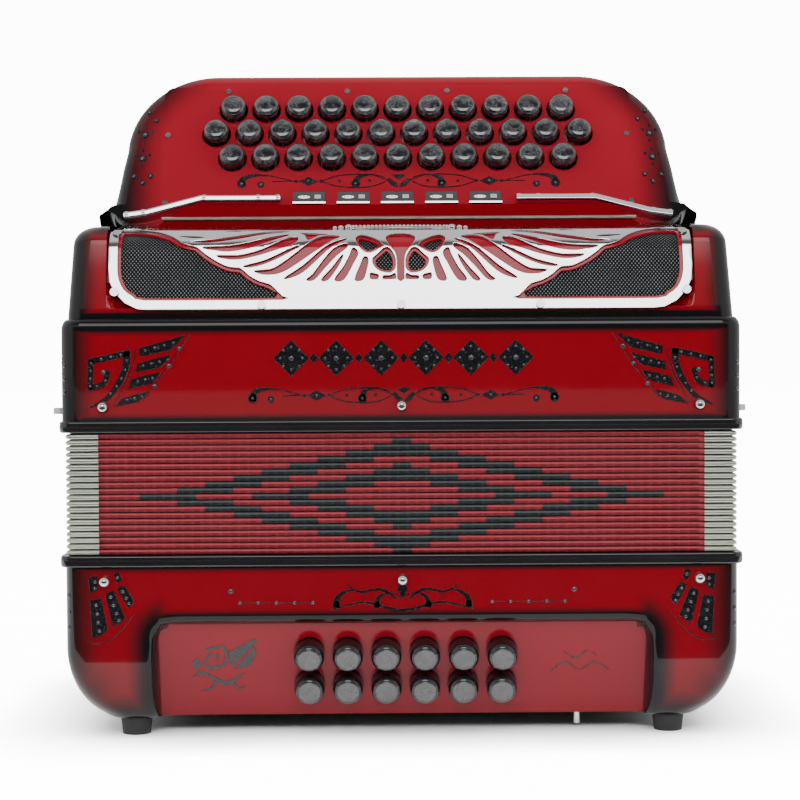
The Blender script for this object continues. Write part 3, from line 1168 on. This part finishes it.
def panel_ornaments():
    """A winged star on the bass panel, and a light scroll on its other side."""
    shapes = [[(-81.5, 25.0), (-82.4, 33.6), (-69.4, 40.8), (-68.6, 39.2)],
              [(-79.6, 24.6), (-70.0, 36.6), (-68.9, 33.4), (-72.2, 26.2)],
              stroke([(-99.4, 20.6), (-95.6, 22.6), (-91.6, 21.2), (-88.2, 18.8), (-83.4, 17.2), (-78.8, 19.6),
                      (-75.2, 22.6)], [0.5, 2.0, 1.4, 2.0, 2.4, 1.4, 0.4]),
              stroke([(-92.8, 34.6), (-84.4, 36.2), (-84.2, 27.2), (-92.4, 25.8), (-92.0, 31.2), (-87.6, 32.0),
                      (-87.4, 29.0)], [1.5, 1.6, 1.6, 1.6, 1.4, 1.2, 1.0]),
              stroke([(-88.6, 18.4), (-91.0, 14.6), (-96.0, 12.8)], [1.8, 1.2, 0.4]),
              stroke([(-80.6, 17.6), (-77.6, 14.4), (-74.4, 15.8)], [1.4, 1.0, 0.3]),
              [(-99.8, 27.6), (-97.2, 31.2), (-95.0, 27.2), (-97.4, 23.8)]]
    shapes += [stroke([(70, 22), (77, 27), (84, 23), (91, 27), (98, 23)], [0.3, 0.8, 0.4, 0.8, 0.3]),
               stroke([(76, 33), (82, 29), (87, 33), (93, 30)], [0.3, 0.8, 0.4, 0.3])]
    decals("panel_ornaments", shapes, on_panel, "bass_section", (), 0.2, 0.08)


panel_ornaments()


def board_ornaments():
    """A scroll under the buttons and groups of studs at both ends of the fingerboard."""
    shapes, gems = scroll(0.3, 26.6, 1.14)
    dots = [(-128.8, 69.3, 1.3), (-124.8, 64.2, 1.4), (-130.2, 55.2, 2.1), (-130.9, 40.8, 2.1), (-134.8, 30.0, 1.5),
            (-126.4, 30.2, 1.5), (-130.3, 26.0, 1.5)]
    for x, v, r in dots:
        for m in (-1, 1):
            shapes.append(circle(m * x, v, r, 14))
            gems.append((m * x, v, r * 0.55))
            if r > 2:
                shapes += [circle(m * x + dx, v + dv, 0.9, 10)
                           for dx, dv in ((3.4, 2.2), (-3.4, 2.2), (0, 5), (0, -4.4))]
    decals("board_ornaments", shapes, lambda u, v, h: on_board(u, v, h + (0.1 if abs(u) < 121 else 0.0)),
           "treble_section", gems, 0.25)


board_ornaments()


def side_crystals():
    """Three studs on each rounded front corner of both casings."""
    a, r = math.radians(38), 9
    stud = lathe([(p * 1.25, h * 1.25) for p, h in GEM], 12)
    for name, body, hx, heights in (("treble_corner_crystals", "treble_section", UPPER_HALF, (163.5, 169.7, 175.9)),
                                    ("bass_corner_crystals", "bass_section", CASE_X, (53, 60.5, 68))):
        b = Build()
        for m in (-1, 1):
            for z in heights:
                b.add(*stud, place=lambda u, v, h: (
                    m * (hx - r + (r + h) * math.cos(a) - u * math.sin(a)),
                    r - CASE_Y - (r + h) * math.sin(a) - u * math.cos(a), z + v))
        b.piece(name, [CRYSTAL], body, "crystal", angle=25)


side_crystals()


# ---------------------------------------------------------------- registers and mouldings
REG_X = [-0.8 + (i - 2) * 21.9 for i in range(5)]
REG_Y, REG_Z = -16.0, Z_BAND + 99.9
ROCKER = [(-13, 2.8), (-12.5, 4.9), (-11.7, 5.9), (-5.4, 11), (-4.2, 11.4), (-2.4, 11.4), (-1.2, 10.6), (1.4, 6),
          (2, -1.4), (-2, -2.2), (-10, -0.4), (-12.4, 1.2)]


def on_rocker(x0):
    """Places shapes on the sloping face of a register switch."""
    return lambda u, w, h: (x0 + u, REG_Y - 12.3 + 0.783 * w - 0.622 * h, REG_Z + 5.4 + 0.622 * w + 0.783 * h)


def register_switch(i):
    """A rocker with an oval, a square and three dots inlaid in its face, and a chrome lip."""
    name, face = f"register_switch_{i + 1}", on_rocker(REG_X[i])
    b = Build()
    for m in (-1, 1):
        b.add(*plate(ROCKER, (), 0.0, 8.0, 0.6), place=lambda a, c, h: (REG_X[i] + m * h, REG_Y + a, REG_Z + c))
    b.piece(f"rocker_{i + 1}", [SWITCH], name, "switch_black", [name], 40)
    inlay = Build()
    inlay.add(*plate([(3.0 * x - 2.6, 1.25 * y + 4.6) for x, y in circle(0, 0, 1)], (), -0.2, 0.2, 0.06), 0, face)
    inlay.add(*plate(round_box(2.6, 3.0, 5.8, 6.4, 0.4, 3), (), -0.2, 0.35, 0.1), 1, face)
    for k in range(3):
        inlay.add(*plate(circle(1.8 * k - 4.4, 4.6, 0.35, 8), (), 0.15, 0.26), 2, face)
    lip = [(1.1, -0.5), (1.0, 0.35), (0.5, 0.85), (-0.2, 0.95), (-0.9, 0.5), (-1.1, -0.5)]
    inlay.add(*sweep([(-8.1, -0.4), (8.1, -0.4)], lip), 1, face)
    inlay.piece(f"rocker_inlay_{i + 1}", [IVORY, CHROME, SWITCH], name, "chrome", angle=40)


def sweep(path, section):
    """A moulding along a flat path: section points are (sideways, out)."""
    loops = []
    line = [Vector(p) for p in path]
    for i, p in enumerate(line):
        d0 = (p - line[i - 1]).normalized() if i else None
        d1 = (line[i + 1] - p).normalized() if i < len(line) - 1 else None
        d = ((d0 or d1) + (d1 or d0)).normalized()
        k = 1 / max(d.dot(d1 or d0), 0.5)
        side = Vector((-d.y, d.x)) * k
        loops.append([(p.x + side.x * a, p.y + side.y * a, h) for a, h in section])
    return loft(loops)


for i in range(5):
    register_switch(i)

HALF_ROUND = [(2.2, 0.0), (2.2, 2.6), (2.0, 3.4), (1.5, 3.8), (-0.6, 4.4), (-1.4, 4.1), (-1.9, 3.3), (-2.1, 2.2),
              (-2.1, 0.0)]


def mouldings():
    """The two bent trim bars beside the registers, with their sleeves, and the bead under the registers."""
    b = Build()
    for m in (-1, 1):
        b.add(*sweep([(m * 60, 14.6), (m * 100, 14.6), (m * 127, 6.4), (m * 138.5, 4.6)], HALF_ROUND), place=on_board)
        for x, v in ((61.2, 14.6), (71, 14.6), (98.5, 14.6), (128.8, 6.1), (137.2, 4.8)):
            b.add(*sweep([(m * x - 0.9, v), (m * x + 0.9, v)], [(a * 1.12, h * 1.04) for a, h in HALF_ROUND]),
                  place=on_board)
    b.piece("board_mouldings", [CHROME], "treble_section", "chrome", ["register_trim_bars"], 40)
    bead = Build()
    bead.add(*sweep([(-117, 0), (117, 0)], [(0.9, 0), (0.8, 0.6), (0.4, 1.0), (-0.4, 1.0), (-0.8, 0.6), (-0.9, 0)]),
             place=lambda x, v, h: (x, -33.4 - h, Z_TOP + 5.6 + v))
    bead.piece("housing_bead", [CORNER_METAL], "treble_section", "chrome", angle=40)


mouldings()


def crest():
    """A beaded chrome crest along the top of the grille, between two small scrolls."""
    b = Build()
    ball = [(0, -1)] + arc(0, 0, 1, -60, 60, 4) + [(0, 1)]
    for i in range(23):
        x = -20.9 + 1.9 * i
        s = 48 + 2.6 * math.cos(x / 20.9 * math.pi / 2)
        b.add(*lathe([(q * 0.95, h * 0.95) for q, h in ball], 12),
              place=lambda u, v, h: on_grille(x + u, s + v, h + 0.8))
    for m in (-1, 1):
        for x, s, r in ((24.5, 47.4, 2.0), (28.2, 46.6, 1.5), (31, 46, 1.1), (22.3, 50.2, 1.4)):
            b.add(*lathe([(q * r, h * r * 0.8) for q, h in ball], 14),
                  place=lambda u, v, h: on_grille(m * x + u, s + v, h + 0.5))
    backing = spline([(-20, 46), (0, 48.6), (20, 46), (17, 53.5), (0, 55), (-17, 53.5)], 4, True)
    b.add(*plate(backing, (), -0.3, 0.5, 0.2), place=on_grille)
    b.piece("grille_crest", [CHROME], "treble_section", "chrome", angle=40)


crest()


ROUNDED = {"grille_screws": 0.35, "button_plate_screws": 0.25, "rubber_feet": 0.8, "foot_screws": 0.2,
           "bass_end_cover": 0.6, "strap_brackets": 0.5, "hand_strap": 0.9, "strap_adjusting_wheel": 0.3,
           "shoulder_strap_brackets": 0.6, "bellows_strap": 0.6, "register_housing": 0.6, "bass_cover_screws": 0.2,
           "fingerboard_back_cover": 0.4, "air_button": 0.3}


def finish_cad():
    """Materials and softened edges for the CAD nodes that stay as they are."""
    red_hide = leather("strap_red", (0.20, 0.006, 0.010, 1), (0.30, 0.012, 0.018, 1))
    by_slot = {"red_lacquer": lacquer("lacquer_plain"), "black_lacquer": BLACK_LACQUER, "chrome": CHROME,
               "red_panel": lacquer("lacquer_panel", None, RED_PLATE, RED_PLATE_2),
               "steel": chrome("screw_steel", (0.62, 0.62, 0.64, 1), (0.12, 0.3)),
               "aluminium": chrome("reed_aluminium", (0.72, 0.73, 0.75, 1), (0.25, 0.45)),
               "reed_wood": plain("reed_maple", (0.45, 0.28, 0.15), (0.60, 0.40, 0.23), (0.45, 0.65), 60, (8, 1, 1)),
               "rubber": plain("foot_rubber", (0.010, 0.010, 0.011), (0.022, 0.022, 0.023), (0.55, 0.8), 400),
               "black_leather": leather("strap_black", (0.010, 0.009, 0.009, 1), (0.022, 0.020, 0.019, 1)),
               "red_leather": red_hide, "bellows_cloth": red_hide, "switch_black": SWITCH, "mesh_cloth": SCREEN,
               "black_pearl": PEARL}
    for part in frame["record"]["subparts"]:
        obj = frame["nodes"][part["node"]]
        obj.data.materials.clear()
        obj.data.materials.append(by_slot[part["material_slot"]])
        if part["node"] in ROUNDED:
            edge = obj.modifiers.new("soft_edges", "BEVEL")
            edge.width = ROUNDED[part["node"]] * MM
            edge.segments = 3
            edge.limit_method = "ANGLE"
            edge.angle_limit = math.radians(40)


finish_cad()


# ---------------------------------------------------------------- floor
def floor():
    """A white table that reads as white as the backdrop, with a soft shadow round the feet."""
    s = Shader("studio_floor", Roughness=0.55, Specular_IOR_Level=0.1, Emission_Color=(1, 1, 1, 1))
    near = Value(s, s.node("AmbientOcclusion", {"Distance": 0.06}), "AO")
    glow = s.math("POWER", near, 3.0) * 13.0 * Value(s, s.node("LightPath"), "Is Camera Ray")
    s.put(Base_Color=s.mix(s.noise(3, 2), (0.90, 0.90, 0.90, 1), (0.93, 0.93, 0.93, 1)), Emission_Strength=glow)
    black = plain("card_black", (0.01, 0.01, 0.01), (0.02, 0.02, 0.02), (0.8, 0.9), 5)

    def sheet(name, x, y0, y1, z, material):
        return piece(name, [(-x, y0, z), (x, y0, z), (x, y1, z), (-x, y1, z)], [(0, 1, 2, 3)], [material], None, None)

    obj = sheet("floor", 6000, -6000, 6000, 0, s.material)
    card = sheet("dark_card", 2500, -3500, -205, 1, black)
    card.visible_camera = card.visible_diffuse = card.visible_shadow = False


floor()
